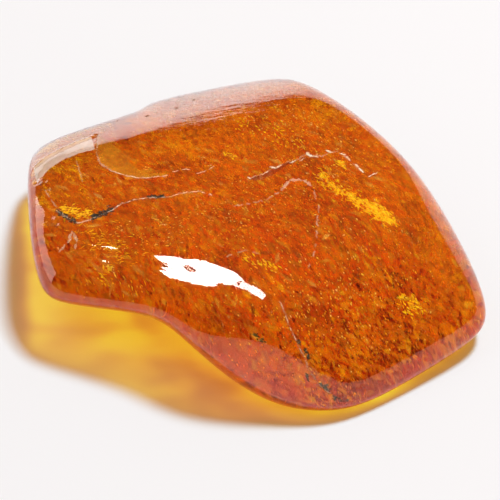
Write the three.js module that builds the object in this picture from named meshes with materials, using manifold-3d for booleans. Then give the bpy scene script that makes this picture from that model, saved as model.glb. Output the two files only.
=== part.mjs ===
// A polished nugget of clear amber, in millimetres, +Z up.
// It lies on its one flat side: z = 0 is the surface it rests on, and the origin is the middle of its
// plan. +X runs to the thick rounded end, -X to the raised lobe, and -Y is the near side of the picture.

import * as THREE from "three";
import { mergeVertices } from "three/addons/utils/BufferGeometryUtils.js";
import Module from "manifold-3d";

// The stone is worked out from worn flats. Each row is one flat: the compass direction it faces in plan
// (degrees, 0 = +X, 90 = +Y), its rise above the horizontal (degrees) and its distance from the middle
// of the part of the stone that it bounds.
const BODY_MIDDLE = new THREE.Vector3(6, 0, 7.5);
const LOBE_MIDDLE = new THREE.Vector3(-12, 2.5, 9);

const STONE_FLATS = [
  [75, 84, 7.9], // broad top
  [135, 78, 8.8], // top falling away over the lobe
  [112, 57, 13.5], // long slope at the back
  [118, 61.5, 12.95], // gentler slope worn into it over the lobe
  [116, 39, 22.3], // back edge
  [248, 66, 11.7], // long near ridge that takes the highlight
  [240, 42, 15.5], // near crown, left
  [270, -90, 7.7], // underside
];

const BODY_FLATS = [
  [87, 42, 18.9], // back corner
  [50, 35, 14.6], // back, right of the corner
  [36, 28, 13.6], // right shoulder
  [22, 18, 13.8], // right side
  [2, 1, 18.9], // right end
  [-39, -29, 19.4], // under the right end
  [-51, -35, 16.95], // near side, right
  [-88, -42, 17.1], // near tip
  [-127, -36, 16], // near side, left
  [-144, -28, 15.4], // waist under the lobe
  [180, 0, 18], // where the body ends inside the lobe
  [95, 0, 25.2], // upright back
  [20, -12, 17], // upright right side
  [95, -45, 19], // bevel under the back
  [20, -50, 14.5], // bevel under the right side
  [292, 46, 12.3], // near crown
  [300, 30, 11.8], // near crown, down to the tip
  [312, 48, 11.2], // near right crown
  [350, 46, 11.6], // right crown
  [262, 6, 16.4], // upright near side
];

const LOBE_FLATS = [
  [150, 24, 13.2], // back corner
  [180, -2, 12.1], // end
  [-174, -5, 10.2], // lower end
  [-159, -18, 11.7], // near corner
  [-114, -39, 12.1], // near side
  [-98, -42, 9.3], // raised underside, near
  [112, 0, 19.2], // upright back
  [112, -50, 12.8], // bevel under the back
  [180, 40, 10.6], // crown over the end
  [238, 58, 8.5], // near ridge of the lobe
  [262, -82, 5.6], // raised underside
  [0, 0, 6], // where the lobe ends inside the body
];

// How tightly flats meet: the larger the number, the sharper the worn ridge (1/mm).
const BODY_WEAR = 1.1;
const LOBE_WEAR = 1.3;
const WAIST_WEAR = 1.3;

// The skin is found along rays from a point inside, spread more closely over the long ends.
const RAY_START = new THREE.Vector3(3, 1, 7.5);
const RAY_SPREAD = new THREE.Vector3(1.5, 1.1, 0.75);
const RAY_DETAIL = 15;
const RAY_REACH = 40;
const HALVINGS = 34;

// The slab below z = 0 that the underside is ground flat against.
const SLAB_WIDTH = 120;
const SLAB_DEPTH = 20;

const AMBER = { color: 0xc8500a, roughness: 0.06, metalness: 0 };

function outwardDirection(azimuth, rise) {
  const a = THREE.MathUtils.degToRad(azimuth);
  const r = THREE.MathUtils.degToRad(rise);
  return new THREE.Vector3(Math.cos(a) * Math.cos(r), Math.sin(a) * Math.cos(r), Math.sin(r));
}

// The larger of the values, rounded off where several are nearly as large.
function softLargest(values, sharpness) {
  const largest = Math.max(...values);
  const sum = values.reduce((total, v) => total + Math.exp(sharpness * (v - largest)), 0);
  return largest + Math.log(sum) / sharpness;
}

function softSmallest(values, sharpness) {
  const turned = values.map((v) => -v);
  return -softLargest(turned, sharpness);
}

// A function giving how far a point lies outside a block bounded by flats, negative inside.
function wornBlock(flats, middle, wear) {
  const faces = flats.map(([azimuth, rise, distance]) => {
    const out = outwardDirection(azimuth, rise);
    return { out, offset: out.dot(middle) + distance };
  });
  return (point) => softLargest(faces.map(({ out, offset }) => out.dot(point) - offset), wear);
}

const stone = wornBlock(STONE_FLATS, BODY_MIDDLE, BODY_WEAR);
const body = wornBlock(BODY_FLATS, BODY_MIDDLE, BODY_WEAR);
const lobe = wornBlock(LOBE_FLATS, LOBE_MIDDLE, LOBE_WEAR);

function outside(point) {
  const joined = softSmallest([body(point), lobe(point)], WAIST_WEAR);
  return softLargest([joined, stone(point)], BODY_WEAR);
}

function skinPoint(direction) {
  let near = 0;
  let far = RAY_REACH;
  const point = new THREE.Vector3();
  for (let i = 0; i < HALVINGS; i++) {
    const half = (near + far) / 2;
    point.copy(RAY_START).addScaledVector(direction, half);
    if (outside(point) < 0) near = half;
    else far = half;
  }
  return point;
}

// A geometry reduced to merged positions, so that neighbouring faces share their corners.
function cornersOnly(geometry) {
  geometry.deleteAttribute("normal");
  geometry.deleteAttribute("uv");
  return mergeVertices(geometry);
}

function nuggetGeometry() {
  const geometry = cornersOnly(new THREE.IcosahedronGeometry(1, RAY_DETAIL));
  const position = geometry.getAttribute("position");
  const direction = new THREE.Vector3();
  for (let i = 0; i < position.count; i++) {
    direction.fromBufferAttribute(position, i).multiply(RAY_SPREAD).normalize();
    const point = skinPoint(direction);
    position.setXYZ(i, point.x, point.y, point.z);
  }
  return geometry;
}

const wasm = await Module();
wasm.setup();

function toSolid(geometry) {
  return new wasm.Manifold(
    new wasm.Mesh({
      numProp: 3,
      vertProperties: geometry.getAttribute("position").array,
      triVerts: new Uint32Array(geometry.index.array),
    }),
  );
}

function toGeometry(solid) {
  const mesh = solid.getMesh();
  const geometry = new THREE.BufferGeometry();
  geometry.setAttribute("position", new THREE.BufferAttribute(mesh.vertProperties, 3));
  geometry.setIndex(new THREE.BufferAttribute(mesh.triVerts, 1));
  return geometry;
}

function groundFlat(geometry) {
  const slab = new THREE.BoxGeometry(SLAB_WIDTH, SLAB_WIDTH, SLAB_DEPTH);
  slab.translate(0, 0, -SLAB_DEPTH / 2);
  return toGeometry(toSolid(geometry).subtract(toSolid(cornersOnly(slab))));
}

// Moves the plan's middle to the Z axis.
function centredInPlan(geometry) {
  geometry.computeBoundingBox();
  const middle = geometry.boundingBox.getCenter(new THREE.Vector3());
  geometry.translate(-middle.x, -middle.y, 0);
  geometry.computeVertexNormals();
  return geometry;
}

const amber = new THREE.Mesh(
  centredInPlan(groundFlat(nuggetGeometry())),
  new THREE.MeshStandardMaterial(AMBER),
);
amber.name = "amber";

const nugget = new THREE.Group();
nugget.add(amber);

export default nugget;
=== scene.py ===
import math

import bmesh
import bpy
import numpy as np
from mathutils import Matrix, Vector
from mathutils.bvhtree import BVHTree
from mathutils.kdtree import KDTree


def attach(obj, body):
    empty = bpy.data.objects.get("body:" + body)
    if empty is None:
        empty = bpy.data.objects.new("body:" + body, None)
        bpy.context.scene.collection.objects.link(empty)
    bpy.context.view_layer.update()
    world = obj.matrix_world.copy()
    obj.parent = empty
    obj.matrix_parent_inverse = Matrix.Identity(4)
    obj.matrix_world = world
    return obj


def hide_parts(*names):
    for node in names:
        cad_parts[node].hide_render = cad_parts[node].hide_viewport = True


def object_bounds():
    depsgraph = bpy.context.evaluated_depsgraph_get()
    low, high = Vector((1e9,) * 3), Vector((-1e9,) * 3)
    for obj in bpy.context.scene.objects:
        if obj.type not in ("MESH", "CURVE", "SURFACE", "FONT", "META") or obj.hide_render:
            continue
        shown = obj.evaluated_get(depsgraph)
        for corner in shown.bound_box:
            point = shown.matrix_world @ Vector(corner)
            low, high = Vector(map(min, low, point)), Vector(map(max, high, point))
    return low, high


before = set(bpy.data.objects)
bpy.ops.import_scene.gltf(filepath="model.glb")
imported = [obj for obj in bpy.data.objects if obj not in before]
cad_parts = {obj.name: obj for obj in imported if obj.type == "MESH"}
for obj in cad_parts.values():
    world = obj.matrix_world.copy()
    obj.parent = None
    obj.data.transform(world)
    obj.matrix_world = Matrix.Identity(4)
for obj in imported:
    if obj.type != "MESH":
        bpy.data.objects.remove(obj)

CAD_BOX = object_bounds()
MM = 0.001
SEED = 41

# Camera: the photograph's frame is 500 by 500 pixels, at about 0.1 mm a pixel across the nugget.
PHOTO_SIDE = 500
PIXEL = 0.1 * MM
CAMERA_RISE = math.radians(48)
CAMERA_DISTANCE = 420 * MM
CAMERA_TARGET = Vector((-0.465, -3.66, 7.0)) * MM
CAMERA_CLIP = 10 * MM


def aim(thing, place, target):
    """Puts a camera or a light at a place, looking at a target."""
    thing.location = place
    thing.rotation_euler = (Vector(target) - Vector(place)).to_track_quat("-Z", "Y").to_euler()


camera_back = Vector((0, -math.cos(CAMERA_RISE), math.sin(CAMERA_RISE)))
camera_place = CAMERA_TARGET + camera_back * CAMERA_DISTANCE
camera_right = Vector((1, 0, 0))
camera_up = camera_back.cross(camera_right)
camera = bpy.data.objects.new("camera", bpy.data.cameras.new("camera"))
camera.data.sensor_fit = "HORIZONTAL"
camera.data.angle = 2 * math.atan(PHOTO_SIDE / 2 * PIXEL / CAMERA_DISTANCE)
camera.data.clip_start = CAMERA_CLIP
aim(camera, camera_place, CAMERA_TARGET)
bpy.context.scene.collection.objects.link(camera)
bpy.context.scene.camera = camera

# The stone's worn flats, as in its CAD solid: direction in plan and rise in degrees, and distance in mm
# from the middle of the part of the stone that they bound.
BODY_MIDDLE = (6, 0, 7.5)
LOBE_MIDDLE = (-12, 2.5, 9)
STONE_FLATS = (
    (75, 84, 7.9), (135, 78, 8.8), (112, 57, 13.5), (118, 61.5, 12.95), (116, 39, 22.3),
    (248, 66, 11.7), (240, 42, 15.5), (270, -90, 7.7),
)
BODY_FLATS = (
    (87, 42, 18.9), (50, 35, 14.6), (36, 28, 13.6), (22, 18, 13.8), (2, 1, 18.9),
    (-39, -29, 19.4), (-51, -35, 16.95), (-88, -42, 17.1), (-127, -36, 16), (-144, -28, 15.4),
    (180, 0, 18), (95, 0, 25.2), (20, -12, 17), (95, -45, 19), (20, -50, 14.5),
    (292, 46, 12.3), (300, 30, 11.8), (312, 48, 11.2), (350, 46, 11.6), (262, 6, 16.4),
)
LOBE_FLATS = (
    (150, 24, 13.2), (180, -2, 12.1), (-174, -5, 10.2), (-159, -18, 11.7), (-114, -39, 12.1),
    (-98, -42, 9.3), (112, 0, 19.2), (112, -50, 12.8), (180, 40, 10.6), (238, 58, 8.5),
    (262, -82, 5.6), (0, 0, 6),
)
# How tightly flats meet: the larger the number, the sharper the worn ridge (1/mm).
BODY_WEAR = 1.1
LOBE_WEAR = 1.3
WAIST_WEAR = 1.3
# The skin is found along rays from a point inside, spread more closely over the long ends.
RAY_START = (3, 1, 7.5)
RAY_SPREAD = (1.5, 1.1, 0.75)
RAY_REACH = 40
HALVINGS = 30
SKIN_DIVISIONS = 7
SLOPE_STEP = 0.01
TINY = 1e-12

AMBER_IOR = 1.54


def unit(vectors):
    return vectors / (np.linalg.norm(vectors, axis=-1, keepdims=True) + TINY)


def soft_largest(values, sharpness):
    """The largest along the last axis, rounded off where several are nearly as large."""
    largest = values.max(-1, keepdims=True)
    total = np.exp(sharpness * (values - largest)).sum(-1)
    return largest[..., 0] + np.log(total) / sharpness


def worn_block(points, flats, middle, wear):
    """How far points lie outside a block bounded by flats: negative inside."""
    azimuth, rise, distance = np.array(flats, float).T
    azimuth, rise = np.radians(azimuth), np.radians(rise)
    out = np.stack((np.cos(azimuth) * np.cos(rise), np.sin(azimuth) * np.cos(rise), np.sin(rise)))
    return soft_largest((points - middle) @ out - distance, wear)


def outside(points):
    """How far points, in millimetres, lie outside the stone: negative inside."""
    body = worn_block(points, BODY_FLATS, BODY_MIDDLE, BODY_WEAR)
    lobe = worn_block(points, LOBE_FLATS, LOBE_MIDDLE, LOBE_WEAR)
    joined = -soft_largest(np.stack((-body, -lobe), -1), WAIST_WEAR)
    stone = worn_block(points, STONE_FLATS, BODY_MIDDLE, BODY_WEAR)
    return soft_largest(np.stack((joined, stone), -1), BODY_WEAR)


def outward(points):
    """The skin's outward direction near points in millimetres."""
    slope = [outside(points + SLOPE_STEP * axis) - outside(points - SLOPE_STEP * axis) for axis in np.eye(3)]
    return unit(np.stack(slope, -1))


def skin_points(directions):
    """Where rays from the starting point meet the skin, found by halving."""
    near = np.zeros(len(directions))
    far = np.full(len(directions), float(RAY_REACH))
    for _ in range(HALVINGS):
        half = (near + far) / 2
        within = outside(RAY_START + directions * half[:, None]) < 0
        near = np.where(within, half, near)
        far = np.where(within, far, half)
    return RAY_START + directions * near[:, None]


def new_piece(name, mesh, material):
    piece = bpy.data.objects.new(name, mesh)
    bpy.context.scene.collection.objects.link(piece)
    mesh.materials.append(material)
    return piece


class Nodes:
    """Short ways to build a material's nodes."""

    def __init__(self, name):
        self.material = bpy.data.materials.new(name)
        self.material.use_nodes = True
        self.tree = self.material.node_tree
        self.tree.nodes.clear()
        self.output = self.add("ShaderNodeOutputMaterial")
        where = self.add("ShaderNodeTexCoord").outputs
        self.place, self.normal = where["Object"], where["Normal"]

    def add(self, kind, **inputs):
        node = self.tree.nodes.new(kind)
        for key, value in inputs.items():
            self.feed(node.inputs[key.replace("_", " ")], value)
        return node

    def feed(self, socket, value):
        if isinstance(value, bpy.types.NodeSocket):
            self.tree.links.new(value, socket)
        else:
            socket.default_value = value

    def noise(self, scale, detail, roughness=0.55, vector=None):
        """Noise from 0 to 1; its scale is per metre."""
        node = self.add("ShaderNodeTexNoise", Scale=scale, Detail=detail, Roughness=roughness)
        self.feed(node.inputs["Vector"], vector or self.place)
        return node.outputs["Fac"]

    def streaks(self, scale, detail, roughness, stretch, turn):
        """Noise stretched along X and Y, and turned in plan by degrees."""
        node = self.add("ShaderNodeMapping", Vector=self.place)
        node.inputs["Scale"].default_value = (*stretch, 1)
        node.inputs["Rotation"].default_value = (0, 0, math.radians(turn))
        return self.noise(scale, detail, roughness, node.outputs["Vector"])

    def ramp(self, value, *stops):
        node = self.add("ShaderNodeValToRGB", Fac=value)
        elements = node.color_ramp.elements
        while len(elements) < len(stops):
            elements.new(0.5)
        for element, (position, colour) in zip(elements, stops):
            element.position = position
            element.color = (*colour, 1)
        return node.outputs["Color"]

    def fade(self, value, start, end):
        """Black up to a start, white from an end."""
        return self.ramp(value, (start, (0, 0, 0)), (end, (1, 1, 1)))

    def bump(self, height, strength, distance, over=None):
        node = self.add("ShaderNodeBump", Height=height, Strength=strength, Distance=distance)
        if over is not None:
            self.feed(node.inputs["Normal"], over)
        return node.outputs["Normal"]

    def maths(self, operation, *values):
        node = self.add("ShaderNodeMath")
        node.operation = operation
        for socket, value in zip(node.inputs, values):
            self.feed(socket, value)
        return node.outputs[0]

    def along(self, axis):
        return self.add("ShaderNodeSeparateXYZ", Vector=self.place).outputs[axis]

    def nearby(self, place, reach):
        """One at a place, falling to nothing at a reach from it."""
        node = self.add("ShaderNodeVectorMath")
        node.operation = "DISTANCE"
        self.feed(node.inputs[0], self.place)
        node.inputs[1].default_value = place
        nearness = self.maths("MULTIPLY_ADD", node.outputs["Value"], -1 / reach, 1.0)
        return self.maths("MAXIMUM", nearness, 0.0)

    def facing(self, direction):
        """One where the skin faces a direction, falling as it turns away."""
        node = self.add("ShaderNodeVectorMath")
        node.operation = "DOT_PRODUCT"
        self.feed(node.inputs[0], self.normal)
        node.inputs[1].default_value = direction
        return node.outputs["Value"]

    def mixed(self, factor, first, second):
        node = self.add("ShaderNodeMixShader")
        self.feed(node.inputs[0], factor)
        self.feed(node.inputs[1], first)
        self.feed(node.inputs[2], second)
        return node.outputs[0]

    def surface(self, shader):
        self.feed(self.output.inputs["Surface"], shader)


# Amber: clear, polished, absorbing blue strongly and green less.
ABSORPTION_DENSITY = 800.0
ABSORPTION_COLOUR = (0.996, 0.938, 0.03, 1)
POLISH_ROUGHNESS = 0.03
SURFACE_HAZE = 0.005

# Noise drawn out into streaks: scale, detail, roughness, stretch along X and Y, turn in degrees.
SCRATCH_STREAKS = (900, 3.0, 0.55, (0.25, 1.6), -38)
SCUFF_STREAKS = (750, 3.0, 0.6, (0.3, 1.3), -48)
BAND_STREAKS = (700, 3.0, 0.6, (0.22, 1.3), 25)
CLOUDS = (150, 2.0, 0.5, (0.6, 1.5), 0)

# The polish's relief: strength, and depth in metres.
WAVE_SCALE = 260
WAVE_RELIEF = (0.10, 0.0004)
SCRATCH_RELIEF = (0.05, 0.00004)
SCUFF_RELIEF = (0.6, 0.0003)
SCUFFED_PLACE = tuple(Vector((-2, 10, 12.3)) * MM)
SCUFFED_REACH = 9 * MM

# A second coat on the back, where the skin turns away from the eye, reflects more: the pale band there.
GRAZING_COAT_IOR = 2.0
GRAZING_FADE = (0.56, 0.76)
GRAZING_RAGGEDNESS = 0.30
BACK_DIRECTION = (-0.45, 0.55, 0.70)
BACK_FADE = (0.84, 0.95)

# The colour of the light that falls through onto the floor, by how steeply a shadow's ray meets the skin,
# varied by clouds. It is given only where that ray enters the stone, so that the inside isn't dimmed.
CLOUD_DEPTH = 0.8
TINT_START = 0.40
POOL_TINTS = (
    (0.02, (1.0, 0.97, 0.8)), (0.15, (0.90, 0.64, 0.38)), (0.32, (0.68, 0.36, 0.19)),
    (0.60, (0.46, 0.22, 0.14)), (0.85, (0.55, 0.36, 0.30)),
)


def amber_material():
    n = Nodes("clear_amber")
    waves = n.bump(n.noise(WAVE_SCALE, 2.0), *WAVE_RELIEF)
    polished = n.bump(n.streaks(*SCRATCH_STREAKS), *SCRATCH_RELIEF, waves)
    scuffs = n.maths("MULTIPLY", n.streaks(*SCUFF_STREAKS), n.nearby(SCUFFED_PLACE, SCUFFED_REACH))
    relief = n.bump(scuffs, *SCUFF_RELIEF, polished)
    turned = n.add("ShaderNodeLayerWeight", Blend=0.5).outputs["Facing"]
    ragged = n.maths("MULTIPLY_ADD", n.streaks(*BAND_STREAKS), GRAZING_RAGGEDNESS, turned)
    grazing = n.fade(ragged, *GRAZING_FADE)
    back = n.fade(n.facing(BACK_DIRECTION), *BACK_FADE)
    glass = n.add(
        "ShaderNodeBsdfPrincipled", Base_Color=(1, 1, 1, 1), Roughness=POLISH_ROUGHNESS, IOR=AMBER_IOR,
        Transmission_Weight=1 - SURFACE_HAZE, Coat_Weight=n.maths("MULTIPLY", grazing, back),
        Coat_Roughness=POLISH_ROUGHNESS, Coat_IOR=GRAZING_COAT_IOR, Normal=relief, Coat_Normal=relief,
    )
    steepness = n.maths("ADD", turned, -TINT_START)
    clouded = n.maths("MULTIPLY_ADD", n.streaks(*CLOUDS), CLOUD_DEPTH, steepness)
    entering = n.maths("SUBTRACT", 1.0, n.add("ShaderNodeNewGeometry").outputs["Backfacing"])
    tint = n.ramp(n.maths("MULTIPLY", clouded, entering), *POOL_TINTS)
    through = n.add("ShaderNodeBsdfTransparent", Color=tint)
    shadow = n.add("ShaderNodeLightPath").outputs["Is Shadow Ray"]
    n.surface(n.mixed(shadow, glass.outputs[0], through.outputs[0]))
    inside = n.add("ShaderNodeVolumeAbsorption", Color=ABSORPTION_COLOUR, Density=ABSORPTION_DENSITY)
    n.feed(n.output.inputs["Volume"], inside.outputs[0])
    return n.material


def bare_skin():
    """The stone's smooth skin as a bmesh in metres, cut flat at the ground, and the shift of its plan."""
    b = bmesh.new()
    bmesh.ops.create_icosphere(b, subdivisions=SKIN_DIVISIONS, radius=1)
    points = skin_points(unit(np.array([v.co for v in b.verts]) * RAY_SPREAD))
    shift = (points.min(0) + points.max(0)) / 2 * (1, 1, 0)
    for vertex, point in zip(b.verts, (points - shift) * MM):
        vertex.co = point
    everything = b.verts[:] + b.edges[:] + b.faces[:]
    bmesh.ops.bisect_plane(b, geom=everything, plane_co=(0, 0, 0), plane_no=(0, 0, -1), clear_outer=True)
    rim = [edge for edge in b.edges if edge.is_boundary]
    for edge in rim:
        edge.smooth = False
    base = bmesh.ops.contextual_create(b, geom=rim)["faces"]
    bmesh.ops.triangulate(b, faces=base)
    bmesh.ops.recalc_face_normals(b, faces=b.faces)
    return b, shift


skin_form, SHIFT = bare_skin()
skin_tree = BVHTree.FromBMesh(skin_form)


def look_at(px, py):
    """The ray from the camera through a pixel, and where it meets the skin, in metres."""
    across = (px - PHOTO_SIDE / 2) * camera_right - (py - PHOTO_SIDE / 2) * camera_up
    ray = (CAMERA_TARGET + across * PIXEL - camera_place).normalized()
    return ray, skin_tree.ray_cast(camera_place, ray)[0]


def on_stone(pixels):
    """Which pixels show the stone."""
    return np.array([look_at(px, py)[1] is not None for px, py in pixels.tolist()])


def seen(pixels, depths=0.0):
    """Places in mm that show at pixels, at depths in mm under the skin, and the skin's normals there."""
    pixels = np.asarray(pixels, float)
    depths = np.broadcast_to(np.asarray(depths, float), len(pixels))
    hits, rays = [], []
    for px, py in pixels.tolist():
        ray, hit = look_at(px, py)
        hits.append(hit)
        rays.append(ray)
    hits, rays = np.array(hits) / MM, np.array(rays)
    normals = outward(hits + SHIFT)
    cosine = -(rays * normals).sum(1, keepdims=True)
    bend = cosine / AMBER_IOR - np.sqrt(1 - (1 - cosine ** 2) / AMBER_IOR ** 2)
    return hits + (rays / AMBER_IOR + normals * bend) * depths[:, None], normals


def evenly(pixels, step):
    """Points every step pixels or so along a line of pixels."""
    pixels = np.array(pixels, float)
    lengths = np.hypot(*np.diff(pixels, axis=0).T)
    far = np.concatenate(((0,), np.cumsum(lengths)))
    at = np.linspace(0, far[-1], max(2, round(far[-1] / step) + 1))
    return np.stack([np.interp(at, far, pixels[:, k]) for k in (0, 1)], 1)


# Cracks, scratches and fractures, as lines of pixels in the photograph.
CRACK_OVER_LOBE = (
    (56, 210), (64, 216), (78, 223), (91, 219), (112, 210), (121, 204), (136, 199), (156, 197),
    (167, 197), (187, 192), (199, 191), (212, 195),
)
JAGGED_CRACK = (
    (249, 179), (262, 174), (274, 168), (287, 162), (297, 160), (306, 154), (310, 157), (317, 155),
    (322, 157), (329, 152), (338, 152), (345, 156), (349, 160), (356, 166), (362, 172),
)
LOOPED_CRACK = (
    (234, 206), (254, 203), (270, 198), (281, 191), (290, 180), (304, 180), (313, 188), (316, 199),
    (319, 210), (317, 226), (317, 240), (314, 253), (308, 268),
)
CRACK_TO_TIP = (
    (280, 301), (285, 313), (288, 322), (294, 336), (298, 345), (305, 359), (308, 369), (320, 386),
    (326, 391), (338, 398),
)
LENS_OUTER = ((97, 137), (96, 151), (100, 163), (112, 171), (128, 176), (140, 178), (155, 177), (168, 175))
LENS_INNER = ((103, 137), (120, 150), (127, 158), (133, 166), (140, 170), (150, 172), (160, 173), (168, 174))
LENS_TAILS = (((172, 172), (186, 169), (195, 170)), ((196, 174), (208, 170), (214, 166)))
LEDGE = ((34, 168), (45, 158), (60, 150), (78, 142), (92, 137))
FORKED_FRACTURE = ((59, 252), (65, 245), (70, 240), (72, 231), (77, 240), (75, 249))
JAGGED_FOOT = ((249, 180), (262, 180), (274, 174), (287, 165), (297, 161))
LOBE_SCRATCH = ((76, 160), (80, 172), (83, 184))
ARC_BY_HIGHLIGHT = ((226, 257), (236, 253), (246, 250), (260, 254))

# Pits: place in pixels, then radius and depth in mm.
SKIN_PITS = (
    (177, 108, 0.20, 0.05), (147, 116, 0.18, 0.05), (194, 100, 0.18, 0.05), (117, 121, 0.16, 0.04),
    (96, 135, 0.2, 0.1), (186.5, 267, 0.17, 0.045), (190, 269, 0.21, 0.055), (194, 270.5, 0.13, 0.04),
    (240, 283, 0.16, 0.02), (60, 214, 0.3, 0.08), (50, 218, 0.4, 0.12), (56, 224, 0.3, 0.1),
    (46, 181, 0.2, 0.06), (49, 189, 0.2, 0.06), (38, 182, 0.4, 0.1),
)
# Grooves: line, then half width and depth in mm; a depth below zero is a raised edge.
SKIN_GROOVES = (
    (CRACK_OVER_LOBE, 0.12, 0.035), (JAGGED_CRACK, 0.12, 0.03), (CRACK_TO_TIP, 0.12, 0.035),
    (LENS_OUTER, 0.1, 0.02), (LEDGE, 0.3, -0.10),
)
GROOVE_STEP = 0.6
GROOVE_UNEVENNESS = (0.75, 1.25)
# Near pits and grooves the skin is made finer: the length of its edges there, and how far it reaches, in
# mm. An edge longer than a share of that length is halved. The stone's foot isn't carved.
FINE_EDGE = 0.11
FINE_REACH = 0.55
REACH_MARGIN = 0.4
SPLIT_ABOVE = 0.8
CARVED_ABOVE = 0.5 * MM


def carve(b):
    """Sinks the grooves and pits into the skin, which is made finer round them first."""
    rng = np.random.default_rng(SEED + 1)
    marks = []
    for line, width, depth in SKIN_GROOVES:
        for place in seen(evenly(line, GROOVE_STEP))[0]:
            marks.append((place, width, depth * rng.uniform(*GROOVE_UNEVENNESS)))
    pits = np.array(SKIN_PITS)
    for place, (_, _, radius, depth) in zip(seen(pits[:, :2])[0], pits):
        marks.append((place, radius, depth))
    tree = KDTree(len(marks))
    for i, (place, _, _) in enumerate(marks):
        tree.insert(place, i)
    tree.balance()
    for longest in (4 * FINE_EDGE, 2 * FINE_EDGE, FINE_EDGE):
        long_edges = [
            edge for edge in b.edges
            if edge.calc_length() / MM > longest * SPLIT_ABOVE
            and tree.find((edge.verts[0].co + edge.verts[1].co) / 2 / MM)[2] < FINE_REACH + longest / 2
        ]
        bmesh.ops.subdivide_edges(b, edges=long_edges, cuts=1)
        bmesh.ops.triangulate(b, faces=[face for face in b.faces if len(face.verts) > 3])
    near = [
        v for v in b.verts
        if v.co.z > CARVED_ABOVE and tree.find(v.co / MM)[2] < FINE_REACH + REACH_MARGIN
    ]
    points = np.array([vertex.co for vertex in near]) / MM + SHIFT
    normals = outward(points)
    # Two steps bring the finer skin's new corners onto the worn surface.
    for _ in range(2):
        points = points - normals * outside(points)[:, None]
    points = points - SHIFT
    for vertex, point, normal in zip(near, points, normals):
        deepest, highest = 0.0, 0.0
        for _, index, distance in tree.find_range(point, FINE_REACH):
            _, width, depth = marks[index]
            value = depth * math.exp(-(distance / width) ** 2)
            deepest, highest = max(deepest, value), min(highest, value)
        vertex.co = (point - normal * (deepest + highest)) * MM


def make_skin():
    """The carved skin as a piece. What lies under it is placed by skin_tree, which has no marks."""
    carve(skin_form)
    mesh = bpy.data.meshes.new("amber_skin")
    skin_form.to_mesh(mesh)
    mesh.shade_smooth()
    return new_piece("amber_skin", mesh, amber_material())


# Flakes: fine spindles and slivers, closed, pointed at both ends.
SPINDLE_CORNERS = np.array((
    (1, 0, 0), (-1, 0, 0), (0.1, 1, 0.1), (-0.1, -0.6, 0.8), (0, -0.5, -0.9),
))
SPINDLE_FACES = np.array(((0, 2, 3), (0, 3, 4), (0, 4, 2), (1, 3, 2), (1, 4, 3), (1, 2, 4)))


def spindles_mesh(name, places, along, up, sizes):
    """One mesh of spindles: places in mm, directions as rows, half sizes in mm."""
    along = unit(along)
    side = unit(np.cross(up, along))
    frames = np.stack((along, side, np.cross(along, side)), 1) * sizes[:, :, None]
    corners = np.einsum("ck,nkd->ncd", SPINDLE_CORNERS, frames) + places[:, None, :]
    faces = SPINDLE_FACES[None] + np.arange(len(places))[:, None, None] * len(SPINDLE_CORNERS)
    mesh = bpy.data.meshes.new(name)
    mesh.from_pydata((corners.reshape(-1, 3) * MM).tolist(), [], faces.reshape(-1, 3).tolist())
    mesh.shade_flat()
    return mesh


def inside_places(rng, count, clearance, wanted):
    """Random places in mm inside the stone, thinned out by a chance from 0 to 1."""
    low, high = np.array([v[:] for v in CAD_BOX]) / MM
    kept = []
    while sum(map(len, kept)) < count:
        tries = rng.uniform(low, high, (count, 3))
        tries = tries[outside(tries + SHIFT) < -clearance]
        tries = tries[tries[:, 2] > clearance]
        kept.append(tries[rng.random(len(tries)) < wanted(tries)])
    return np.concatenate(kept)[:count]


WAVE_COUNT = 14
WAVE_CONTRAST = 1.4


def smooth_waves(points, seed, size):
    """A smooth random field from 0 to 1, with features of about a size in mm."""
    rng = np.random.default_rng(seed)
    total = np.zeros(len(points))
    for _ in range(WAVE_COUNT):
        direction = rng.normal(size=3)
        total += np.sin(points @ (direction / size * 2) + rng.uniform(0, 2 * math.pi))
    return 0.5 + 0.5 * np.tanh(total / math.sqrt(WAVE_COUNT) * WAVE_CONTRAST)


# Painted light: flakes low in the stone are given a lighter colour, standing in for the light that
# scattering in it would bring.
PAINTED_SCATTER_LIGHT = 16.0
MIDDLE_HEIGHT = 8.5 * MM
# The lobe is more even than the rest.
LOBE_REACH = 20 * MM
LOBE_FADE = (0.5, 0.75)
LOBE_CALM = 0.9
LOBE_BLEND = 0.46


def flake_material(name, stops, drift_size, speckle_size, speckle_share, alpha):
    """Thin and half clear; colour drifts over a few mm, changes from flake to flake, and is painted lighter
    low in the stone.
    """
    n = Nodes(name)
    speckle = n.maths("MULTIPLY_ADD", n.noise(1 / speckle_size, 1.0), speckle_share, -speckle_share / 2)
    # Painted light: a lighter colour low down, for light scattered in the stone.
    painted_light_below = n.maths(
        "MULTIPLY_ADD", n.along("Z"), -PAINTED_SCATTER_LIGHT, PAINTED_SCATTER_LIGHT * MIDDLE_HEIGHT
    )
    drift = n.maths("ADD", n.noise(1 / drift_size, 2.0), painted_light_below)
    mottled = n.maths("ADD", drift, speckle)
    in_lobe = n.fade(n.maths("MULTIPLY", n.along("X"), -1 / LOBE_REACH), *LOBE_FADE)
    calmer = n.maths("MULTIPLY", in_lobe, LOBE_CALM)
    missing = n.maths("SUBTRACT", LOBE_BLEND, mottled)
    blend = n.maths("MULTIPLY_ADD", missing, calmer, mottled)
    shader = n.add(
        "ShaderNodeBsdfPrincipled", Base_Color=n.ramp(blend, *stops), Roughness=0.4, Alpha=alpha
    )
    n.surface(shader.outputs[0])
    return n.material


# Where flakes gather, in mm along X: the lobe's edge and how softly it ends, the waist and its width.
LOBE_EDGE = -11
LOBE_SOFTNESS = 1.2
WAIST_PLACE = -12.5
WAIST_WIDTH = 2.5
CLUMP_SIZE = 3.2
FLAKE_UP = (0.05, -0.30, 0.9)
FLAKE_TILT = 0.22


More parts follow.
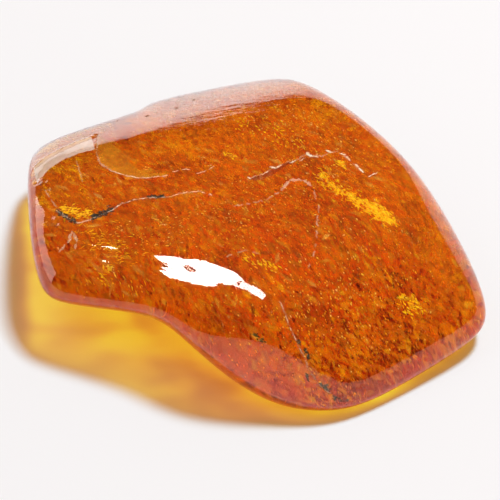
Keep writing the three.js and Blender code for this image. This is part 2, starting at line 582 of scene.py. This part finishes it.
def make_flakes(name, seed, count, half_sizes, mean, scatter, material, lobe_share, clearance=0.2):
    """Flakes along a mean direction, in clumps, more of them at the waist; half sizes as ranges in mm."""
    rng = np.random.default_rng(seed)

    def wanted(points):
        """A chance that falls to three tenths between clumps, and to half away from the waist."""
        along_x = points[:, 0]
        lobe = 1 / (1 + np.exp((along_x - LOBE_EDGE) / LOBE_SOFTNESS))
        clumps = 0.3 + 0.7 * smooth_waves(points, seed + 1, CLUMP_SIZE)
        waist = np.exp(-(((along_x - WAIST_PLACE) / WAIST_WIDTH) ** 2))
        return (1 - (1 - lobe_share) * lobe) * clumps * (0.5 + 0.5 * waist)

    places = inside_places(rng, count, clearance, wanted)
    along = np.array(mean) + rng.normal(0, scatter, (count, 3))
    up = np.array(FLAKE_UP) + rng.normal(0, FLAKE_TILT, (count, 3))
    sizes = np.stack([rng.uniform(*span, count) for span in half_sizes], 1)
    return new_piece(name, spindles_mesh(name, places, along, up, sizes), material)


DEEP_ORANGE = (0.42, 0.055, 0.002)
ORANGE = (0.64, 0.145, 0.008)
GOLD = (0.84, 0.31, 0.02)
PALE_GOLD = (1.0, 0.66, 0.22)
DARK_TO_GOLD = ((0.32, DEEP_ORANGE), (0.50, ORANGE), (0.68, GOLD))
DARK_TO_PALE = ((0.26, DEEP_ORANGE), (0.46, ORANGE), (0.64, GOLD), (0.82, PALE_GOLD))

# Directions that flakes and grains lie along.
DOWN_RIGHT = (1, -0.85, -0.5)
GENTLY_DOWN = (1, -0.4, -0.2)
STEEP = (1, -1.6, -1.1)
LEVEL = (1, 0, 0)

inner = [
    make_flakes(
        "veils", SEED + 20, count=14000, half_sizes=((0.35, 0.9), (0.14, 0.36), (0.02, 0.04)),
        mean=DOWN_RIGHT, scatter=0.5, lobe_share=2.2, clearance=0.8,
        material=flake_material(
            "veils", DARK_TO_GOLD, drift_size=0.0035, speckle_size=0.0010, speckle_share=0.06, alpha=0.35
        ),
    ),
    make_flakes(
        "fine_flakes", SEED, count=30000, half_sizes=((0.12, 0.40), (0.02, 0.06), (0.01, 0.025)),
        mean=STEEP, scatter=0.45, lobe_share=0.03,
        material=flake_material(
            "fine_flakes", DARK_TO_PALE, drift_size=0.0035, speckle_size=0.0006, speckle_share=0.65,
            alpha=0.42,
        ),
    ),
    make_flakes(
        "cloudy_grains", SEED + 10, count=16000, half_sizes=((0.05, 0.14), (0.03, 0.08), (0.02, 0.05)),
        mean=GENTLY_DOWN, scatter=0.8, lobe_share=0.08,
        material=flake_material(
            "cloudy_grains", DARK_TO_GOLD, drift_size=0.005, speckle_size=0.0009, speckle_share=0.7,
            alpha=0.35,
        ),
    ),
]


def closed_strip(rings):
    """A closed strip through rings of corners: its vertices, and its faces by number."""
    count, corners = rings.shape[:2]
    faces = []
    for i in range(count - 1):
        for k in range(corners):
            here, there, after = corners * i, corners * (i + 1), (k + 1) % corners
            faces.append((here + k, here + after, there + after, there + k))
    faces.append(tuple(reversed(range(corners))))
    faces.append(tuple(range(corners * (count - 1), corners * count)))
    return rings.reshape(-1, 3), faces


# Steps along lines, in pixels.
RIBBON_STEP = 1.2
FINE_STEP = 0.5
# A ribbon's taper starts at this angle, in radians, so that its ends keep some width.
RIBBON_TIP = 0.05
RIBBON_UNEVENNESS = (0.6, 1.3)
SHORTEST_PIECE = 3
SHEET_CORNERS = 24
SHEET_THICKNESS = 0.01


def ribbon(pixels, rng, depth, width, thick, waver):
    """A thin ribbon flat under the skin along pixels; sizes in mm, width and thickness as halves."""
    path = evenly(pixels, RIBBON_STEP)
    path = path + rng.normal(0, 1, path.shape) * waver
    places, normals = seen(path, depth)
    side = unit(np.cross(np.gradient(places, axis=0), normals))
    taper = np.sin(np.linspace(RIBBON_TIP, math.pi - RIBBON_TIP, len(path))) ** 0.5
    across = side * (width * taper * rng.uniform(*RIBBON_UNEVENNESS, len(path)))[:, None]
    lift = normals * (thick * taper)[:, None]
    return closed_strip(np.stack((places + across, places + lift, places - across, places - lift), 1))


def broken(pixels, rng, lengths, gaps):
    """A line of pixels broken into pieces, with lengths and gaps between limits in pixels."""
    path = evenly(pixels, 1.0)
    pieces, i = [], 0
    while i < len(path) - SHORTEST_PIECE:
        end = i + round(rng.uniform(*lengths))
        if len(path[i:end]) >= SHORTEST_PIECE:
            pieces.append(path[i:end])
        i = end + round(rng.uniform(*gaps))
    return pieces


def sheet(edge, other_edge, depth, other_depth, waver, rng):
    """A thin closed sheet between two lines of pixels at two depths in mm, wavering by some pixels."""
    pick = np.linspace(0, 1, SHEET_CORNERS)
    rows = []
    for pixels, down in ((edge, depth), (other_edge, other_depth)):
        path = evenly(pixels, FINE_STEP)
        path = path[(pick * (len(path) - 1)).round().astype(int)]
        rows.append(seen(path + rng.normal(0, waver, path.shape), down))
    (first, normals), (second, _) = rows
    middle = (first + second) / 2
    lift = normals * SHEET_THICKNESS
    return closed_strip(np.stack((first, middle + lift, second, middle - lift), 1))


def joined_mesh(name, strips):
    """One flat-shaded mesh of closed strips, with places in mm."""
    vertices, faces = [], []
    for points, numbers in strips:
        faces += [tuple(number + len(vertices) for number in face) for face in numbers]
        vertices += (points * MM).tolist()
    mesh = bpy.data.meshes.new(name)
    mesh.from_pydata(vertices, [], faces)
    b = bmesh.new()
    b.from_mesh(mesh)
    bmesh.ops.recalc_face_normals(b, faces=b.faces)
    b.to_mesh(mesh)
    b.free()
    mesh.shade_flat()
    return mesh


SPECKLE_RELIEF = (0.2, 0.0001)


def speckled_material(name, dark, light, size, alpha=1.0):
    """Speckled from a dark to a light colour, each with its place in the ramp; size in metres."""
    n = Nodes(name)
    grain = n.noise(1 / size, 3.0, 0.65)
    shader = n.add(
        "ShaderNodeBsdfPrincipled", Base_Color=n.ramp(grain, dark, light), Roughness=0.5, Alpha=alpha,
        Normal=n.bump(grain, *SPECKLE_RELIEF),
    )
    n.surface(shader.outputs[0])
    return n.material


# Each has its dark and its light end, the size of its speckles in metres, and its opacity if below 1.
PALE = speckled_material(
    "pale_fracture", (0.36, (0.85, 0.45, 0.28)), (0.56, (1.0, 0.86, 0.82)), 0.0005
)
LILAC = speckled_material(
    "fine_fracture", (0.36, (0.75, 0.28, 0.14)), (0.6, (0.9, 0.6, 0.55)), 0.0006, 0.33
)
DARK = speckled_material(
    "crack_dirt", (0.4, (0.006, 0.004, 0.003)), (0.65, (0.09, 0.06, 0.05)), 0.0003
)
# Painted shade: a dark red for the jagged crack's plane, darkened where its underside lies in shade.
CRACK_SHADE = speckled_material(
    "deep_fracture_shade", (0.35, (0.22, 0.012, 0.001)), (0.6, (0.4, 0.04, 0.003)), 0.0006, 0.5
)
OCHRE = speckled_material(
    "ochre_fracture", (0.32, (0.50, 0.13, 0.006)), (0.64, (0.88, 0.38, 0.02)), 0.0018, 0.4
)
# Partly painted reflection: a pale sheet along the ledge stands for its pale fracture and for the bright
# reflection along its ridge.
LAVENDER = speckled_material(
    "ledge_and_reflection", (0.3, (0.90, 0.66, 0.68)), (0.6, (1.0, 0.80, 0.82)), 0.0012, 0.66
)
YELLOW = speckled_material(
    "bright_yellow", (0.3, (0.98, 0.45, 0.01)), (0.6, (1.0, 0.76, 0.02)), 0.0005, 0.75
)
YELLOW_VEIL = speckled_material(
    "yellow_veil", (0.3, (0.95, 0.40, 0.01)), (0.6, (1.0, 0.66, 0.02)), 0.0008, 0.35
)
# Painted glints: specks coloured bright yellow and pale, as light glinting off them would look.
GLINT_PAINT = speckled_material(
    "painted_glints", (0.35, (1.0, 0.42, 0.04)), (0.6, (1.0, 0.72, 0.30)), 0.0012
)

GRAIN_SCATTER = 0.4
GRAIN_TILT = 0.3
GRAIN_FLATNESS = (0.4, 0.9)


def make_blobs(name, seed, material, groups):
    """Grains about pixels: rows of line, count, spread in pixels, depths and half sizes in mm, direction."""
    rng = np.random.default_rng(seed)
    pixels, depths, along, sizes = [], [], [], []
    for line, count, spread, depth, longs, wides, way in groups:
        path = evenly(line, FINE_STEP)
        pixels.append(path[rng.integers(0, len(path), count)] + rng.normal(0, spread, (count, 2)))
        depths.append(rng.uniform(*depth, count))
        along.append(np.array(way) + rng.normal(0, GRAIN_SCATTER, (count, 3)))
        wide = rng.uniform(*wides, count)
        long = rng.uniform(*longs, count)
        sizes.append(np.stack((long, wide, wide * rng.uniform(*GRAIN_FLATNESS, count)), 1))
    pixels = np.concatenate(pixels)
    kept = on_stone(pixels)
    places, normals = seen(pixels[kept], np.concatenate(depths)[kept])
    up = normals + rng.normal(0, GRAIN_TILT, places.shape)
    mesh = spindles_mesh(name, places, np.concatenate(along)[kept], up, np.concatenate(sizes)[kept])
    return new_piece(name, mesh, material)


def make_ribbons(name, seed, material, rows):
    """Broken ribbons: rows of line, depth, half width, half thickness, waver, lengths and gaps in pixels."""
    rng = np.random.default_rng(seed)
    strips = []
    for line, depth, width, thick, waver, lengths, gaps in rows:
        for piece in broken(line, rng, lengths, gaps):
            strips.append(ribbon(piece, rng, depth, width, thick, waver))
    return new_piece(name, joined_mesh(name, strips), material)


# The jagged crack's white teeth, each a short line of pixels, and their half width in mm.
JAGGED_TEETH = (
    (((247, 177), (251, 179)), 0.10), (((262, 175), (268, 171)), 0.08), (((270, 167), (276, 168)), 0.14),
    (((274, 169), (282, 165)), 0.10), (((290, 163), (296, 160)), 0.10), (((299, 161), (305, 158)), 0.05),
    (((306, 152), (311, 157)), 0.16), (((309, 155), (318, 157)), 0.11), (((326, 150), (333, 153)), 0.12),
    (((339, 153), (346, 155)), 0.10), (((346, 156), (350, 160)), 0.12), (((355, 164), (359, 167)), 0.09),
    (((359, 168), (364, 173)), 0.10), (((368, 177), (378, 172)), 0.06),
)


# Ribbons: line, depth, half width and half thickness in mm, then waver, lengths and gaps in pixels.
UNBROKEN = ((200, 200), (1, 1))


def tooth(line, width):
    return line, 0.07, width, 0.01, 0.3, *UNBROKEN


def streak(line, depth, width):
    return line, depth, width, 0.02, 1.2, (6, 14), (0, 2)


PALE_CRACKS = (
    (CRACK_OVER_LOBE, 0.07, 0.045, 0.01, 0.4, (3, 10), (0, 5)),
    (CRACK_TO_TIP, 0.07, 0.045, 0.01, 0.4, (4, 12), (1, 6)),
    (LENS_OUTER[3:], 0.07, 0.045, 0.01, 0.3, (6, 20), (1, 3)),
    (LENS_TAILS[0], 0.08, 0.05, 0.01, 0.2, (6, 12), (1, 3)),
    (LENS_TAILS[1], 0.08, 0.05, 0.01, 0.2, (6, 12), (1, 3)),
    (LEDGE, 0.06, 0.05, 0.01, 0.1, (80, 90), (1, 2)),
) + tuple(tooth(*row) for row in JAGGED_TEETH)
FINE_CRACKS = (
    (LOOPED_CRACK, 0.08, 0.09, 0.01, 0.6, (4, 12), (1, 6)),
    (LOOPED_CRACK[3:7], 0.07, 0.18, 0.01, 0.6, (6, 14), (0, 2)),
    (LOBE_SCRATCH, 0.3, 0.08, 0.01, 0.2, (20, 30), (1, 2)),
    (ARC_BY_HIGHLIGHT, 0.2, 0.08, 0.01, 0.4, (6, 14), (1, 4)),
    (LENS_OUTER[1:], 0.10, 0.12, 0.01, 0.4, (14, 40), (0, 2)),
    (FORKED_FRACTURE, 0.12, 0.14, 0.01, 0.4, (6, 16), (0, 1)),
    (CRACK_OVER_LOBE, 0.10, 0.10, 0.01, 0.4, (10, 40), (0, 2)),
    (CRACK_TO_TIP, 0.10, 0.08, 0.01, 0.4, (8, 30), (0, 3)),
    (JAGGED_CRACK, 0.09, 0.07, 0.01, 0.6, (6, 30), (0, 2)),
    (((45, 190), (52, 201), (62, 214)), 0.1, 0.08, 0.01, 0.4, (5, 12), (1, 2)),
)

# Ribbons of the yellow streak and patches: line, depth and half width in mm.
YELLOW_STREAKS = (
    (((319, 173), (331, 184), (344, 193)), 0.7, 0.16), (((334, 189), (354, 200), (370, 208)), 0.9, 0.20),
    (((346, 192), (362, 200), (378, 210)), 0.7, 0.14), (((356, 206), (374, 213), (391, 221)), 0.8, 0.26),
    (((368, 205), (382, 212), (396, 224)), 0.6, 0.20), (((372, 217), (386, 221), (392, 226)), 0.7, 0.16),
    (((338, 162), (342, 164), (346, 167)), 0.5, 0.16), (((404, 300), (410, 299), (415, 302)), 0.6, 0.16),
    (((408, 306), (415, 308), (421, 311)), 0.7, 0.14),
)

# Sheets: line at the mouth, line at the foot, their depths in mm, and waver in pixels.
# The jagged crack's plane under its mouth, coloured dark red as painted shade.
DEEP_SHEETS = ((JAGGED_CRACK[:5], JAGGED_FOOT, 0.2, 0.6, 0.4),)
OCHRE_SHEETS = ((LENS_OUTER, LENS_INNER, 0.2, 0.5, 0.3),)
LEDGE_FOOT = ((37, 183), (48, 170), (62, 160), (80, 153), (95, 149))
# A pale sheet under the ledge: its fracture, painted brighter as the reflection along the ridge there.
LEDGE_SHEETS = ((LEDGE, LEDGE_FOOT, 0.04, 0.04, 0.3),)


def make_sheets(name, seed, material, rows):
    rng = np.random.default_rng(seed)
    strips = [sheet(*row, rng) for row in rows]
    return new_piece(name, joined_mesh(name, strips), material)


# Grains' half lengths and half widths in mm.
GRIT = ((0.08, 0.26), (0.06, 0.14))
FINE_GRIT = ((0.05, 0.14), (0.03, 0.07))
FLECK = ((0.10, 0.35), (0.04, 0.12))
SLIVER = ((0.15, 0.45), (0.02, 0.045))
SPECK = ((0.06, 0.12), (0.04, 0.09))
SPOT = ((0.08, 0.20), (0.04, 0.09))

# Grains: line, count, spread in pixels, depths in mm, half lengths and half widths in mm, direction.
# First the dirt in cracks and pits.
DIRT = (
    (((57, 211), (66, 217), (75, 222)), 90, 1.2, (0.09, 0.16), *GRIT, LEVEL),
    (((92, 218), (103, 213), (112, 209)), 150, 1.5, (0.09, 0.16), *GRIT, LEVEL),
    (((112, 209), (121, 204), (136, 199), (149, 197)), 60, 0.7, (0.09, 0.15), *FINE_GRIT, LEVEL),
    (((149, 197), (164, 196)), 50, 0.8, (0.09, 0.16), *GRIT, LEVEL),
    (((298, 340), (300, 344)), 10, 0.8, (0.09, 0.16), *GRIT, STEEP),
    (((305, 350), (309, 359)), 22, 0.9, (0.09, 0.16), *GRIT, STEEP),
    (((306, 374), (309, 382)), 14, 0.9, (0.09, 0.16), *GRIT, STEEP),
    (((320, 384), (330, 390)), 30, 1.0, (0.09, 0.16), *GRIT, DOWN_RIGHT),
    (((333, 398), (348, 402)), 26, 1.4, (0.09, 0.16), *GRIT, LEVEL),
    (((205, 354), (215, 358)), 16, 1.0, (0.1, 0.3), *FINE_GRIT, LEVEL),
    (((251, 333), (265, 342)), 20, 1.4, (0.3, 0.9), *GRIT, DOWN_RIGHT),
    (((36, 174), (40, 184), (44, 190)), 36, 1.6, (0.05, 0.15), *FINE_GRIT, LEVEL),
    (((44, 222), (60, 228)), 12, 1.6, (0.1, 0.3), *FINE_GRIT, LEVEL),
    (((144, 117), (150, 115)), 12, 0.5, (0.02, 0.05), *FINE_GRIT, LEVEL),
    (((174, 109), (180, 107)), 16, 0.6, (0.02, 0.05), *FINE_GRIT, LEVEL),
    (((181, 104), (186, 103)), 8, 0.5, (0.02, 0.05), *FINE_GRIT, LEVEL),
    (((192, 101), (196, 99)), 12, 0.5, (0.02, 0.05), *FINE_GRIT, LEVEL),
    (((116, 122), (120, 120)), 8, 0.5, (0.02, 0.05), *FINE_GRIT, LEVEL),
    (((183, 266), (188, 270)), 14, 0.5, (0.01, 0.03), *FINE_GRIT, DOWN_RIGHT),
    (((189, 267), (197, 271)), 16, 0.5, (0.01, 0.03), *FINE_GRIT, LEVEL),
    (((93, 132), (99, 136)), 10, 0.6, (0.04, 0.08), *FINE_GRIT, LEVEL),
    (((97, 138), (97, 147)), 10, 0.3, (0.04, 0.08), (0.05, 0.10), (0.015, 0.03), STEEP),
)
# The yellow streak, the yellow patches and the glints over the lobe.
GLINTS = (
    (((318, 172), (330, 184), (350, 196), (372, 208), (394, 225)), 260, 3.6, (0.4, 2.0), *FLECK, DOWN_RIGHT),
    (((372, 205), (384, 214), (392, 222)), 110, 3.0, (0.2, 1.2), *FLECK, DOWN_RIGHT),
    (((338, 162), (346, 168)), 30, 1.5, (0.3, 1.0), *FLECK, DOWN_RIGHT),
    (((399, 297), (410, 298), (420, 305), (425, 312)), 40, 1.5, (0.4, 1.2), *FLECK, DOWN_RIGHT),
    (((405, 302), (412, 312)), 40, 4.0, (0.6, 1.6), *FLECK, DOWN_RIGHT),
    (((62, 210), (76, 212), (90, 212)), 90, 3.0, (0.3, 1.0), (0.12, 0.4), (0.05, 0.12), LEVEL),
    (((243, 258), (258, 262), (277, 268)), 40, 2.5, (0.4, 1.2), *FLECK, DOWN_RIGHT),
    (((85, 226), (100, 240), (115, 250), (130, 258)), 130, 9.0, (0.3, 1.5), *SLIVER, LEVEL),
    (((80, 288), (110, 285), (150, 290)), 40, 6.0, (0.4, 1.6), (0.1, 0.4), (0.03, 0.08), STEEP),
    (((262, 120), (285, 135), (300, 150)), 50, 8.0, (0.5, 1.8), *FLECK, DOWN_RIGHT),
    (((240, 118), (250, 130)), 26, 4.0, (0.5, 1.8), *FLECK, DOWN_RIGHT),
    (((226, 150), (234, 156)), 20, 3.0, (0.5, 1.5), *FLECK, DOWN_RIGHT),
    (((98, 275), (108, 280)), 24, 4.0, (0.8, 1.8), *FLECK, DOWN_RIGHT),
    (((109, 267), (111, 269)), 10, 1.0, (0.2, 0.5), (0.1, 0.2), (0.1, 0.16), LEVEL),
)
# Painted glints: bright specks coloured as if catching the light, some in their own places, the rest spread
# over the body.
PAINTED_GLINT_ROWS = (
    (((46, 181), (47, 182)), 6, 0.7, (0.08, 0.2), *SPECK, LEVEL),
    (((49, 188), (51, 190)), 8, 0.9, (0.08, 0.2), *SPECK, LEVEL),
    (((45, 222), (47, 223)), 5, 0.7, (0.1, 0.3), *SPECK, LEVEL),
    (((57, 247), (58, 249)), 3, 0.5, (0.1, 0.3), *SPECK, LEVEL),
    (((113, 267), (114, 273)), 5, 0.6, (0.1, 0.4), *SPECK, LEVEL),
    (((473, 301), (474, 303)), 4, 0.5, (0.2, 0.5), *SPECK, LEVEL),
    (((336, 290), (337, 292)), 3, 0.4, (0.1, 0.3), *SPECK, LEVEL),
    (((343, 234), (344, 237)), 3, 0.4, (0.1, 0.3), *SPECK, LEVEL),
    (((199, 155), (212, 168)), 10, 1.5, (0.1, 0.6), *SPECK, DOWN_RIGHT),
    (((270, 340), (400, 260)), 460, 34.0, (0.1, 1.8), *SPOT, STEEP),
    (((220, 240), (360, 150)), 360, 28.0, (0.1, 1.8), *SPOT, DOWN_RIGHT),
    (((110, 240), (220, 220)), 140, 12.0, (0.1, 1.5), (0.08, 0.20), (0.04, 0.08), LEVEL),
    (((250, 120), (340, 120)), 170, 14.0, (0.1, 1.5), (0.08, 0.20), (0.04, 0.08), DOWN_RIGHT),
    (((370, 340), (375, 350)), 10, 3.0, (0.1, 0.4), (0.1, 0.25), (0.03, 0.06), STEEP),
)

inner += [
    make_ribbons("pale_cracks", SEED + 30, PALE, PALE_CRACKS),
    make_ribbons("fine_cracks", SEED + 31, LILAC, FINE_CRACKS),
    make_sheets("deep_crack_shade", SEED + 32, CRACK_SHADE, DEEP_SHEETS),
    make_sheets("ochre_fractures", SEED + 33, OCHRE, OCHRE_SHEETS),
    make_sheets("ledge_and_reflection", SEED + 34, LAVENDER, LEDGE_SHEETS),
    make_blobs("crack_dirt", SEED + 40, DARK, DIRT),
    make_blobs("yellow_glints", SEED + 41, YELLOW, GLINTS),
    make_ribbons("yellow_streaks", SEED + 43, YELLOW_VEIL, [streak(*row) for row in YELLOW_STREAKS]),
    make_blobs("painted_glint_specks", SEED + 42, GLINT_PAINT, PAINTED_GLINT_ROWS),
]
# The inner pieces cast no shadow, so that the light on the floor stays clear of specks.
for piece in inner:
    piece.visible_shadow = False
for piece in [make_skin()] + inner:
    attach(piece, "root")
    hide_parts("amber")


FLOOR_COLOUR = (0.95, 0.93, 0.93, 1)
FLOOR_SIDE = 4.0
FLOOR_DROP = 0.05 * MM


def floor_material():
    n = Nodes("pale_floor")
    shader = n.add("ShaderNodeBsdfPrincipled", Base_Color=FLOOR_COLOUR, Roughness=0.9)
    n.surface(shader.outputs[0])
    return n.material


def make_floor():
    half = FLOOR_SIDE / 2
    mesh = bpy.data.meshes.new("floor")
    plan = ((-half, -half), (half, -half), (half, half), (-half, half))
    corners = [(x, y, -FLOOR_DROP) for x, y in plan]
    mesh.from_pydata(corners, [], [(0, 1, 2, 3)])
    return new_piece("floor", mesh, floor_material())


make_floor()


# Lights: places and sides in metres.
LIGHT_TARGET = (0, 0, 0.007)


def soft_light(name, direction, distance, sides, watts, offset=(0, 0), turn=0.0):
    """A lamp facing the stone, then moved sideways in its own plane and turned in it."""
    data = bpy.data.lights.new(name, "AREA")
    data.shape = "RECTANGLE"
    data.size, data.size_y = sides
    data.energy = watts
    light = bpy.data.objects.new(name, data)
    bpy.context.scene.collection.objects.link(light)
    aim(light, Vector(direction).normalized() * distance, LIGHT_TARGET)
    light.location += light.rotation_euler.to_matrix() @ Vector((*offset, 0))
    light.rotation_euler.rotate_axis("Z", turn)
    return light


def hide_from(light, *rays):
    """Keeps a light out of what these kinds of ray show."""
    for ray in rays:
        setattr(light, f"visible_{ray}", False)


# The key light: direction, distance, sides and watts. The polish shows the windows instead of it.
KEY = ((0.27, 0.14, 1.0), 0.9, (0.15, 0.15), 7.7)
KEY_COLOUR = (1, 0.985, 0.98)
# A window on the left, seen only in the polish at the lobe's end.
SIDE_WINDOW = ((-0.93, 0.25, 0.30), 0.5, (0.75, 0.28), 1.9)
# The main window's panes: sides, then offset from its middle, then turn in degrees, then watts. They are
# seen only in the stone's polish, as its white highlight.
WINDOW_DIRECTION = (-0.34, -0.12, 0.93)
WINDOW_DISTANCE = 0.5
WINDOW_PANES = (
    ((0.150, 0.117), (-0.038, -0.013), 0, 1.7),
    ((0.028, 0.018), (-0.024, -0.079), 0, 0.05),
    ((0.064, 0.078), (0.020, -0.093), 0, 0.48),
    ((0.038, 0.046), (0.033, -0.146), 0, 0.17),
    ((0.330, 0.045), (0.160, 0.076), 26, 1.0),
)
SKY_COLOUR = (0.95, 0.97, 1, 1)
SKY_STRENGTH = 0.1

key = soft_light("key", *KEY)
key.data.color = KEY_COLOUR
hide_from(key, "glossy", "transmission")
for number, (sides, offset, turn, watts) in enumerate(WINDOW_PANES):
    pane = soft_light(
        f"window_{number}", WINDOW_DIRECTION, WINDOW_DISTANCE, sides, watts, offset, math.radians(turn)
    )
    hide_from(pane, "diffuse", "transmission")
hide_from(soft_light("side_window", *SIDE_WINDOW), "diffuse", "transmission")

world = bpy.data.worlds.new("studio")
world.use_nodes = True
sky = world.node_tree.nodes["Background"].inputs
sky["Color"].default_value = SKY_COLOUR
sky["Strength"].default_value = SKY_STRENGTH
world.cycles_visibility.glossy = False
world.cycles_visibility.transmission = False
bpy.context.scene.world = world

scene = bpy.context.scene
scene.view_settings.view_transform = "Standard"
scene.cycles.max_bounces = 24
scene.cycles.transmission_bounces = 20
scene.cycles.glossy_bounces = 12
scene.cycles.transparent_max_bounces = 32
scene.cycles.caustics_refractive = False
scene.cycles.caustics_reflective = False
